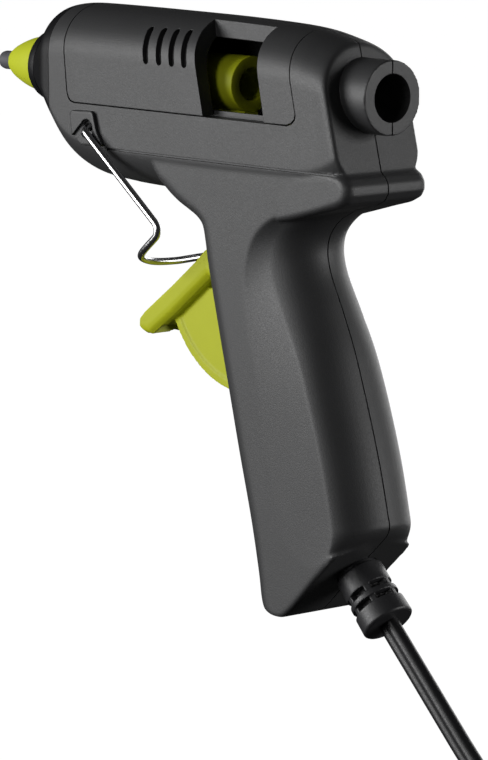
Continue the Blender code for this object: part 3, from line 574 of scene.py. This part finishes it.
TOP = [
    (11.0, -24.0, 13.8, -23.0, 4.6), (22.1, -18.4, 22.1, -18.9, 4.6), (55.2, -16.6, 55.2, -17.0, 4.6),
    (75.4, -18.4, 72.0, -19.3, 5.0),
]
HANDLE_TOP_W, HANDLE_FOOT_W, BACK_FULL = 13.35, 12.7, 1.035


def handle(steps=12):
    """The handle: quarter-round edges in front, an arc and a slanted band at the back."""
    w = HANDLE_TOP_W
    rows, band = [], 6
    n = steps + 1 + band
    for row in FRONT + BACK + TOP:
        line = []
        if len(row) == 5:
            ox, oz, ix, iz, deep = row
            for k in range(n):
                a = math.pi / 2 * k / (n - 1)
                line.append((ix + (ox - ix) * math.cos(a), w - deep * (1 - math.sin(a)),
                             iz + (oz - iz) * math.cos(a)))
        else:
            ox, oz, cx, cz, ix, iz, dip = row
            end = w - dip
            full = 1 - math.sqrt(1 - 1 / BACK_FULL ** 2)
            for k in range(steps + 1):
                y = 0.3 + (end - 0.3) * math.sin(math.pi / 2 * k / steps)
                f = (1 - math.sqrt(1 - (y / end / BACK_FULL) ** 2)) / full
                line.append((ox + (cx - ox) * f, y, oz + (cz - oz) * f))
            for k in range(1, band + 1):
                f = k / band
                line.append((cx + (ix - cx) * f, end + dip * f, cz + (iz - cz) * f))
        rows.append(line)
    dense = flow([np.array(r).ravel() for r in rows], 6, closed=True)
    rows = [d.reshape(-1, 3) for d in dense]
    taper = (HANDLE_TOP_W - HANDLE_FOOT_W) / HANDLE_TOP_W / 109.0
    loops = [[(r[k][0], r[k][1] * (1 + taper * min(0.0, r[k][2] + 18.0)), r[k][2]) for r in rows] for k in range(n)]
    return rings(loops[::-1] + [[(x, -y, z) for x, y, z in loop] for loop in loops])


ROOM_W = 10.8
ROOM = [
    (68.0, -23.4, 64.0, -20.8, 6.0), (63.0, -27.2, 59.4, -23.6, 6.6), (57.6, -30.0, 53.6, -26.8, 6.6),
    (55.4, -33.7, 50.8, -31.6, 6.6), (53.8, -38.4, 48.2, -37.0, 6.6), (53.5, -42.4, 47.6, -41.4, 6.6),
    (52.9, -46.2, 46.9, -45.0, 6.6), (49.8, -60.3, 43.6, -58.9, 6.6), (46.5, -72.8, 40.3, -71.5, 6.6),
    (42.1, -89.7, 36.0, -88.4, 6.6), (37.6, -106.7, 31.7, -105.5, 6.6), (34.8, -119.0, 29.6, -118.2, 6.6),
    (33.8, -123.2, 29.4, -121.6, 5.6), (31.8, -124.8, 28.6, -123.0, 4.0), (28.0, -125.0, 26.8, -123.6, 1.6),
    (26.2, -124.8, 26.0, -123.2, 1.2), (14.4, -114.6, 15.0, -113.4, 1.2), (7.6, -108.0, 12.0, -108.9, 2.4),
    (4.6, -104.4, 12.5, -105.9, 8.0), (3.2, -101.0, 13.0, -102.4, 9.8), (6.6, -87.6, 16.5, -89.6, 10.0),
    (12.0, -71.2, 22.0, -73.8, 10.0), (15.6, -61.7, 26.0, -64.8, 10.0), (19.7, -53.0, 31.0, -56.4, 10.0),
    (24.0, -44.2, 35.5, -46.8, 10.0), (25.2, -38.6, 36.0, -39.4, 9.6), (24.4, -33.0, 34.0, -33.0, 8.6),
    (21.6, -28.4, 28.4, -27.4, 6.6), (20.0, -20.0, 23.0, -20.5, 5.6), (58.0, -16.0, 56.0, -17.0, 5.6),
    (67.0, -18.0, 63.0, -18.6, 6.0),
]
LIP = [
    (4.0, -17.9, 5.6, -19.0), (2.5, -18.8, 4.4, -19.6), (1.3, -20.5, 3.7, -21.0), (1.2, -22.6, 3.7, -22.4),
    (2.4, -24.5, 4.4, -23.6), (5.3, -25.9, 6.6, -24.6), (11.0, -27.3, 11.4, -26.2), (17.0, -28.9, 17.0, -27.7),
    (22.0, -30.2, 22.0, -28.9), (27.0, -31.0, 26.0, -30.0), (27.0, -20.0, 26.0, -21.0), (8.0, -17.0, 9.0, -18.6),
]


def slab(rows, w, steps=8):
    """Rounded slab: outline in the middle plane, drawn in towards the flat sides."""
    rows = [list(r) + [2.6] * (5 - len(r)) for r in rows]
    outer, inner, deep = (np.array([r[a:b] for r in rows]) for a, b in ((0, 2), (2, 4), (4, 5)))
    loops = []
    for side in (1, -1):
        some = []
        for k in range(steps + 1):
            a = math.pi / 2 * k / steps
            ring = outer + (inner - outer) * (1 - math.cos(a))
            y = w - deep[:, 0] * (1 - math.sin(a))
            some.append([(x, side * yy, z) for (x, z), yy in zip(ring, y)])
        loops += some[::-1] if side == 1 else some
    return rings(loops)


outside = barrel(0.0)
soften(add(outside, handle(), slab(LIP, HANDLE_TOP_W - 0.02)), 0.42, 5)
add(outside, soften(cylinder(9.0, 0.0, 16.0, n=128), 0.3, 4))

# --- the room inside, with its posts and ribs ---------------------------------------------
cavity = barrel(WALL, 2)
add(cavity, slab(ROOM, ROOM_W, 4))
SCREWS = [(112.0, -16.6), (79.0, -22.0), (17.5, -17.5), (21.5, -57.0), (37.5, -92.0), (11.5, -98.5)]
for x, z in SCREWS:
    cut(cavity, cylinder(3.1, -30, 30, "y", (x, 0, z), n=32))
CARRIAGE_R = 6.9
for i, x in enumerate((64.5, 79.2, 88.0, 113.2)):
    plate = box((x, x + 1.6), (-13, 13), (-20.0 if i == 1 else -30.0, 0.0))
    cut(plate, cylinder(CARRIAGE_R + 0.25, x - 1, x + 3), box((x - 1, x + 3), (-6.0, 6.0), (-16.0, 0.0)))
    if x < 110:
        cut(plate, *[box((x - 1, x + 3), side, (-20.2, -15.5)) for side in ((5.5, 10.2), (-10.2, -5.5))])
    cut(cavity, plate)
cut(cavity, box((33.0, 39.2), (-14, 14), (-26.6, -24.6)), box((28.0, 60.0), (9.6, 14.0), (-9.6, -6.0)))
STAND = (96.9, -13.0)          # pivot of the wire stand (x, z)
WIRE_R, PAD_Y, Y_LEG = 0.92, 14.7, 15.75
for s in (1, -1):
    cut(cavity, box((91.5, 108.5), tuple(sorted((s * 8.9, s * 14.0))), (-30.0, -7.8)))

# --- hood: one piece over both shells -----------------------------------------------------
HOOD = [
    (22.5, -7.1), (20.9, -6.6), (19.7, -5.6), (19.4, -4.4), (25.2, 20.0), (107.9, 20.0), (105.2, -4.6),
    (104.6, -6.0), (103.7, -6.8), (102.4, -7.1),
]
SLOT_R = 1.0
hood = duplicate(outside)
cut(hood, barrel(HOOD_WALL, 2))
boolean(hood, prism(HOOD, -20, 20), "INTERSECT")
cut(hood, prism([(30.0, -9.0), (52.5, -9.0), (52.9, -7.2), (57.6, 13.0), (58.4, 18.5), (35.8, 18.5)], 5.2, 20))
for x in (74.1, 69.1, 64.3, 59.6):
    line = []
    for zc, sgn in ((12.1, 1), (5.1, -1)):
        for k in range(13):
            a = math.pi * k / 12
            line.append((x + 0.23 * (zc - 3.8) + sgn * SLOT_R * math.cos(a), zc + sgn * SLOT_R * math.sin(a)))
    slot_cut = prism(line, -20, 20)
    cut(slot_cut, barrel(1.2, 2))
    cut(hood, slot_cut)
emit(hood, "hood_cover", "housing", stands_for=("hood",), sharp=28)

recess = prism([(x + (0.3 if x > 63.0 else -0.3), z - 0.3 if z < 0 else z) for x, z in HOOD], -20, 20)
cut(recess, barrel(HOOD_WALL + 0.3, 2))
PIVOT, PULL, FIN_R = (50.0, -47.0), 20.0, 29.3
body = outside
cut(body, cavity, recess, cylinder(5.8, -2.0, 16.0, n=128),
    turned([(112.0, 7.15), (115.0, 7.15), (115.0, 8.3), (125.0, 8.3)], bored=False),
    box((47.0, 70.0), (-6.1, 6.1), (-52.5, -35.6)), box((44.0, 66.0), (-3.4, 3.4), (-78.5, -50.0)),
    turned([(-6.0, 5.35), (4.0, 5.35)], "cord", (EXIT[0], 0, EXIT[1]), 64, False))
PAD = [
    (94.7, -8.9), (102.4, -9.1), (103.2, -10.2), (102.4, -15.4), (98.8, -17.6), (90.6, -17.4), (90.4, -16.8),
    (92.5, -14.0), (93.9, -9.5),
]
CATCH = [(97.6, -11.6), (98.6, -12.2), (102.9, -16.0), (101.6, -17.4), (97.2, -13.6), (96.2, -12.4)]
for s in (1, -1):
    add(body, soften(prism(PAD, *sorted((s * 12.0, s * PAD_Y))), 0.25, 3))
    cut(body, prism(CATCH, *sorted((s * 13.9, s * 17.0))),
        cylinder(2.5, *sorted((s * 13.1, s * 17.0)), "y", (STAND[0] - 0.6, 0, STAND[1] - 0.4)),
        cylinder(WIRE_R + 0.12, *sorted((s * 8.0, s * 16.5)), "y", (STAND[0], 0, STAND[1]), n=32),
        box((2.0, 89.6), tuple(sorted((s * 12.8, s * 15.0))), (-18.3, -17.75)))

# the front end goes to the collar piece, whose near-black colour is painted shade on the forward-facing cone and chin
# front
AHEAD = [(113.7, 40), (200, 40), (200, -60), (115.3, -60), (115.3, -13.6), (112.8, -10.0), (112.8, -3.0)]
BEHIND = [(113.6, 40), (200, 40), (200, -60), (115.2, -60), (115.2, -13.7), (112.7, -10.1), (112.7, -3.0)]
painted_shade_collar = duplicate(body)
boolean(painted_shade_collar, prism(AHEAD, -40, 40), "INTERSECT")
cut(body, prism(BEHIND, -40, 40))
left = duplicate(body)
right = body
SEAM = 0.15
cut(left, box((-10, 200), (-40, SEAM), (-150, 60)))
cut(right, box((-10, 200), (-SEAM, 40), (-150, 60)))
HEAD_R, SHANK_R = 2.5, 1.2
seat = -6.0                    # y of the shelf under each screw's head
for i, (x, z) in enumerate(SCREWS):
    cut(right, cylinder(HEAD_R + 0.15, -20, seat, "y", (x, 0, z)),
        cylinder(SHANK_R + 0.2, seat - 1, 1, "y", (x, 0, z), n=32))
    cut(left, cylinder(SHANK_R + 0.05, -1, 9.5, "y", (x, 0, z), n=32))
    screw = turned([(seat - 2.0, 0.001), (seat - 2.0, HEAD_R - 0.5), (seat - 1.85, HEAD_R - 0.2),
                    (seat - 1.6, HEAD_R), (seat - 0.02, HEAD_R), (seat - 0.02, SHANK_R), (8.4, SHANK_R),
                    (9.2, 0.5), (9.2, 0.001)], "y", (x, 0, z), 48, bored=False)
    for w, h in ((1.5, 0.28), (0.28, 1.5)):    # cross recess
        cut(screw, box((x - w, x + w), (seat - 3, seat - 0.9), (z - h, z + h)))
    emit(screw, f"housing_screw_{i + 1}", "steel", stands_for=(f"screw_{i + 1}",))
for ob, s in ((left, 1), (right, -1)):
    add(ob, cylinder(2.9, *sorted((s * 6.6, s * 10.8)), "y", (PIVOT[0], 0, PIVOT[1])))
    cut(ob, cylinder(1.53, *sorted((s * 6.0, s * 10.0)), "y", (PIVOT[0], 0, PIVOT[1])))
emit(left, "shell_left", "housing", stands_for=("left_shell",), sharp=28)
emit(right, "shell_right", "housing", stands_for=("right_shell",), sharp=28)

# --- nose ---------------------------------------------------------------------------------
NECK_X, NOZZLE_X, COLLAR_R = 124.4, 126.9, 9.25


def circle(x, r, n):
    """Points in step with a barrel ring: from the top, over the left side, round to the top."""
    return [(x, r * math.sin(2 * math.pi * k / n), r * math.cos(2 * math.pi * k / n)) for k in range(n)]


flare = [barrel_ring(NOSE_X - 0.7, 15.1, -11.9, HALF_W - 0.9, 0.0, 0.15)]
n = len(flare[0])
flare += [circle(x, r, n) for x, r in (
    (NECK_X, COLLAR_R - 0.1), (NECK_X + 0.05, COLLAR_R), (NOZZLE_X - 0.6, COLLAR_R),
    (NOZZLE_X - 0.2, COLLAR_R - 0.15), (NOZZLE_X, COLLAR_R - 0.55), (NOZZLE_X, 7.95), (NOZZLE_X - 0.2, 7.75),
    (NOZZLE_X - 0.5, 7.7), (116.0, 7.7), (116.0, 8.35), (NOSE_X - 0.7, 8.35))]
emit(add(painted_shade_collar, rings(flare, closed=True)), "nose_cone", "painted_shade_collar", stands_for=("nose_collar",))
nozzle = turned([(119.4, 0.8), (119.4, 4.3), (137.5, 4.3), (141.4, 2.45), (146.6, 2.4), (147.3, 2.25),
                 (147.8, 1.85), (148.0, 1.4), (148.0, 0.8)])
emit(nozzle, "nozzle_tip", "tip", stands_for=("nozzle",))
cone = flow([(121.0, 7.45), (128.0, 7.45), (131.2, 7.1), (134.4, 6.4), (137.4, 5.45), (140.2, 4.35), (142.0, 3.4)], 5)
cap = [(120.5, 4.45), (120.5, 7.1), (120.6, 7.35)] + [tuple(c) for c in cone]
cap += [(142.5, 3.0), (142.7, 2.75), (142.7, 2.6), (141.4, 2.6), (137.6, 4.45)]
emit(turned(cap, n=128), "nozzle_sleeve", "silicone", stands_for=("nozzle_cap",))

# --- carriage -----------------------------------------------------------------------------
STICK_BORE = 4.05
DRIVE = (50.0 - 35.5 * math.tan(math.radians(PULL / 2)), -11.5)
carriage = turned([(50.0, STICK_BORE + 0.3), (50.0, CARRIAGE_R - 0.45), (50.12, CARRIAGE_R - 0.15),
                   (50.4, CARRIAGE_R), (66.0, CARRIAGE_R), (66.0, STICK_BORE), (50.4, STICK_BORE),
                   (50.1, STICK_BORE + 0.1)], n=128)
KEEL = [(40.6, -14.6), (48.0, -14.6), (62.8, -8.6), (62.8, -5.6), (50.4, -5.6), (50.4, -8.2), (40.6, -8.2)]
add(carriage, prism(KEEL, -2.2, 2.2))
cut(carriage, cylinder(1.52, -4, 4, "y", (DRIVE[0], 0, DRIVE[1])), box((51.2, 58.6), (-1.15, 1.15), (-20.0, -3.5)),
    cylinder(0.78, -4, 4, "y", (55.4, 0, -8.7), n=32))
emit(carriage, "stick_carriage", "lime", "carriage", ("carriage",))

# --- trigger ------------------------------------------------------------------------------
def fan(r, a0=-19.0, a1=-99.0, steps=40):
    """Sector round the pivot."""
    return [PIVOT] + [(PIVOT[0] + r * math.cos(math.radians(a0 + (a1 - a0) * k / steps)),
                       PIVOT[1] + r * math.sin(math.radians(a0 + (a1 - a0) * k / steps))) for k in range(steps + 1)]


trigger = prism(fan(FIN_R), -3.0, 3.0)
for s in (1, -1):              # the fin's web is a little thinner than its rim
    web = fan(FIN_R - 2.1, 10.0, -130.0)[1:] + fan(9.0, 10.0, -130.0)[:0:-1]
    cut(trigger, prism(web, *sorted((s * 2.7, s * 4.0))))
UPPER = [(51.0, -42.5), (55.4, -38.4), (61.6, -41.5), (65.4, -44.8), (74.0, -51.4), (84.4, -58.9),
         (86.7, -61.0), (87.0, -63.2)]
LOWER = [(85.0, -65.1), (82.3, -65.2), (74.0, -59.3), (60.0, -48.5), (54.0, -49.5), (50.0, -50.0)]
for k in range(6):             # the lever's flanks turn in towards the fin along their lower edge
    a = math.pi / 2 * k / 5
    up = 2.6 * (1 - math.sin(a))
    w = 3.2 + 2.3 * math.cos(a)
    add(trigger, prism(UPPER + [(x + 0.6 * up, z + 0.8 * up) for x, z in LOWER], -w, w))
cut(trigger, prism([(78.6, -56.8), (83.6, -60.2), (84.9, -61.6), (84.9, -70.0), (78.6, -70.0)], -4.0, 4.0))
add(trigger, cylinder(4.4, -5.9, 5.9, "y", (PIVOT[0], 0, PIVOT[1])))
tilt = math.radians(-PULL / 2)
ux, uz = math.sin(tilt), math.cos(tilt)
reach = 35.5 / math.cos(tilt)


def arm(r, side):
    """Point on the inner arm: r along it from the pivot, side across it."""
    return (PIVOT[0] + ux * r + uz * side, PIVOT[1] + uz * r - ux * side)


add(trigger, prism([arm(0, -4.0), arm(0, 4.0), arm(6, 3.4), arm(9, 2.3), arm(22, 2.3), arm(28, 3.2),
                    arm(reach + 2.6, 3.2), arm(reach + 2.6, -3.2), arm(20, -3.4)], -5.2, 5.2))
cut(trigger, prism([arm(8, -9), arm(8, 9), arm(reach + 9, 9), arm(reach + 9, -9)], -2.6, 2.6))
line = []
for base, sgn in ((reach + 0.3, 1), (reach - 0.7, -1)):
    for k in range(13):
        a = math.pi * k / 12
        line.append(arm(base + sgn * 1.75 * math.sin(a), sgn * 1.75 * math.cos(a)))
cut(trigger, prism(line, -8, 8))
add(trigger, prism([(33.6, -48.4), (49.0, -49.5), (49.0, -45.0), (33.6, -45.2)], -3.0, 3.0))
soften(trigger, 0.3, 3)
cut(trigger, cylinder(1.55, -9, 9, "y", (PIVOT[0], 0, PIVOT[1])))
emit(trigger, "trigger_lever", "lime", "trigger", ("trigger",))

# --- wire stand ---------------------------------------------------------------------------
half = rounded([(STAND[0], 9.2, STAND[1]), (STAND[0], Y_LEG, STAND[1]), (66.0, Y_LEG, -36.3),
                (71.0, Y_LEG, -40.3)], 2.6, 14)
foot = flow([(69.4, Y_LEG, -39.0), (71.0, Y_LEG, -40.3), (74.0, 15.3, -42.6), (75.7, 14.0, -43.8),
             (76.8, 11.6, -44.8), (77.4, 8.0, -45.6), (77.7, 0.0, -46.0), (77.4, -8.0, -45.6)], 8)
wire = half[:-1] + foot[8:-8]
wire += [p * (1, -1, 1) for p in reversed(half[:-1] + foot[8:-16])]
emit(tube(wire, circle_profile(WIRE_R, 32)), "stand_wire", "chrome", "stand", ("wire_stand",), sharp=60)

# --- strain relief ------------------------------------------------------------------------
relief = turned([(-5.2, 2.0), (-5.2, 6.2), (-3.0, 6.2), (-3.0, 5.15), (1.1, 5.15), (1.1, 6.1), (6.4, 6.05),
                 (6.4, 4.0), (8.1, 4.0), (8.1, 6.2), (9.5, 6.25), (9.5, 4.0), (11.2, 4.0), (11.2, 6.45),
                 (15.6, 6.6), (16.1, 6.1), (16.1, 2.0)], "cord", (EXIT[0], 0, EXIT[1]), 96)
BAR = [(3.0, -0.8), (5.9, -0.8), (5.9, 0.8), (3.0, 0.8)]       # section of a bar: outwards, across
for k in range(6):             # bars that bridge the grooves
    t = math.radians(15 + 60 * k)
    corners = [(r * math.cos(t) - q * math.sin(t), r * math.sin(t) + q * math.cos(t)) for r, q in BAR]
    add(relief, rings([[(EXIT[0] - D45 * u + D45 * c, d, EXIT[1] - D45 * u - D45 * c) for c, d in corners]
                       for u in (3.0, 13.0)]))
soften(relief, 0.22, 2)
emit(relief, "cord_relief", "black", stands_for=("strain_relief",))

# --- what stays as the CAD has it, with better materials ----------------------------------
INNER = {
    "trigger_pin": "steel", "heating_chamber": "alu", "heater": "ceramic", "heater_clip": "steel",
    "inlet_sleeve": "rubber", "sleeve_clamp": "steel", "drive_pin": "steel", "jaw_pin": "steel", "jaw": "steel",
    "return_spring": "steel", "lead_live": "lead_red", "lead_neutral": "lead_blue", "splice_live": "rubber",
    "splice_neutral": "rubber",
}
for node, mat in INNER.items():
    ob = frame["nodes"][node]
    for slot_at in ob.material_slots:
        slot_at.material = MATS[mat]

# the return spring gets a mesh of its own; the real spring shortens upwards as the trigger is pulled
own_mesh(frame["nodes"]["return_spring"])
